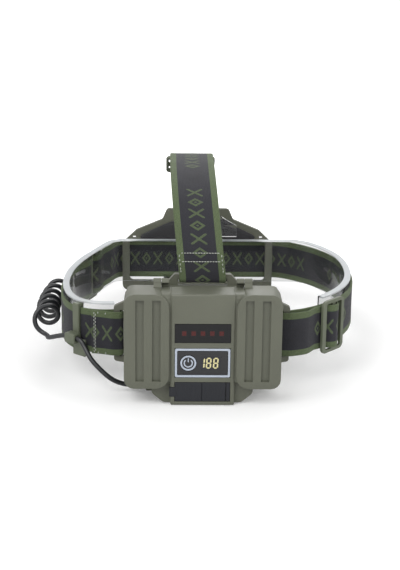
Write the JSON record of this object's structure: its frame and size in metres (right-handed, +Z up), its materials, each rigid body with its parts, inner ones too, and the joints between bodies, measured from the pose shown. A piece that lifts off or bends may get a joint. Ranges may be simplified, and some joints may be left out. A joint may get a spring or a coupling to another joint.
{
  "type": "miner's cap lamp",
  "caption": "Strap-worn rechargeable head lamp: ribbed battery case with display behind, coiled cable along the band and a focusing spot lamp on a tilting mount in front.",
  "frame": {"origin": "centre of the head ring, half way up the side straps", "axes": "+Z up through the crown, +Y the way the wearer faces, towards the lamp, +X to the wearer's right; the battery case is at -Y"},
  "size_m": [0.2212, 0.282, 0.1384],
  "materials": {
    "olive_abs": "fine texture, dull",
    "olive_nylon": "smooth moulded, satin",
    "charcoal_webbing": "woven, green borders, grey woven motif",
    "black_rubber": "dull",
    "black_plastic": "satin",
    "cable_jacket": "smooth, slightly shiny",
    "smoked_acrylic": "polished",
    "light_grey_abs": "smooth",
    "button_black": "polished, pale ring and mark",
    "red_led_resin": "moulded resin",
    "green_laminate": "circuit board",
    "clear_pvc": "clear sheet",
    "spring_steel": "plated",
    "nickel_strip": "nickel",
    "screw_steel": "zinc plated",
    "cell_wrap": "blue shrink wrap",
    "socket_shell": "plated shell",
    "black_foam": "closed-cell foam",
    "anodised_black": "black anodised",
    "board_aluminium": "white solder mask",
    "led_phosphor": "phosphor under silicone",
    "lens_acrylic": "clear, polished"
  },
  "bodies": {
    "head_frame": {"base_housing": "olive_abs", "case_gasket": "black_rubber", "cell_1": "cell_wrap", "cell_2": "cell_wrap", "cell_3": "cell_wrap", "cell_spring_1": "spring_steel", "cell_spring_2": "spring_steel", "cell_spring_3": "spring_steel", "contact_strip_left": "nickel_strip", "contact_strip_right": "nickel_strip", "hinge_pin_left": "screw_steel", "hinge_pin_right": "screw_steel", "left_strap": "charcoal_webbing", "right_strap": "charcoal_webbing", "slider_right": "olive_nylon", "slider_left": "olive_nylon", "cable_buckle": "olive_nylon", "headband_former": "clear_pvc", "top_strap": "charcoal_webbing", "slider_top": "olive_nylon", "top_former": "clear_pvc", "cable_gland": "black_rubber", "case_cable": "cable_jacket", "curly_cable": "cable_jacket", "lamp_cable": "cable_jacket", "front_bracket": "olive_abs", "forehead_pad": "black_foam", "lamp_mount": "black_plastic", "mount_screw_1": "screw_steel", "mount_screw_2": "screw_steel", "mount_screw_3": "screw_steel", "mount_screw_4": "screw_steel", "tilt_bolt": "screw_steel"},
    "cover": {"rear_cover": "olive_abs", "led_window": "smoked_acrylic", "rear_led_1": "red_led_resin", "rear_led_2": "red_led_resin", "rear_led_3": "red_led_resin", "rear_led_4": "red_led_resin", "rear_led_5": "red_led_resin", "rear_led_board": "green_laminate", "display_frame": "light_grey_abs", "display_lens": "smoked_acrylic", "digit_module": "black_plastic", "control_board": "green_laminate", "button_switch": "black_plastic", "usb_c_socket": "socket_shell", "usb_a_socket": "socket_shell", "flap_anchor": "black_rubber"},
    "button": {"power_button": "button_black"},
    "flap": {"port_flap": "black_rubber"},
    "lamp": {"lamp_body": "anodised_black", "led_board": "board_aluminium", "led_emitter": "led_phosphor", "focus_o_ring": "black_rubber", "lamp_gland": "black_rubber"},
    "bezel": {"focus_bezel": "anodised_black", "focus_lens": "lens_acrylic", "lens_retainer": "anodised_black"}
  },
  "joints": [
    {"name": "cover_hinge", "type": "hinge", "parent": "head_frame", "child": "cover", "pos_m": [0, -0.104, 0.0394], "axis": [-1, 0, 0], "range_deg": [0, 100]},
    {"name": "power_button_press", "type": "slide", "parent": "cover", "child": "button", "axis": [0, 1, 0], "range_m": [0, 0.0006], "stiffness_N_per_m": 400},
    {"name": "port_flap_hinge", "type": "hinge", "parent": "cover", "child": "flap", "pos_m": [0.0152, -0.122, -0.0286], "axis": [0, 0, 1], "range_deg": [0, 110]},
    {"name": "lamp_tilt", "type": "hinge", "parent": "head_frame", "child": "lamp", "pos_m": [0, 0.112, 0], "axis": [-1, 0, 0], "range_deg": [0, 70]},
    {"name": "focus_slide", "type": "slide", "parent": "lamp", "child": "bezel", "axis": [0, 1, 0], "range_m": [0, 0.008]}
  ]
}
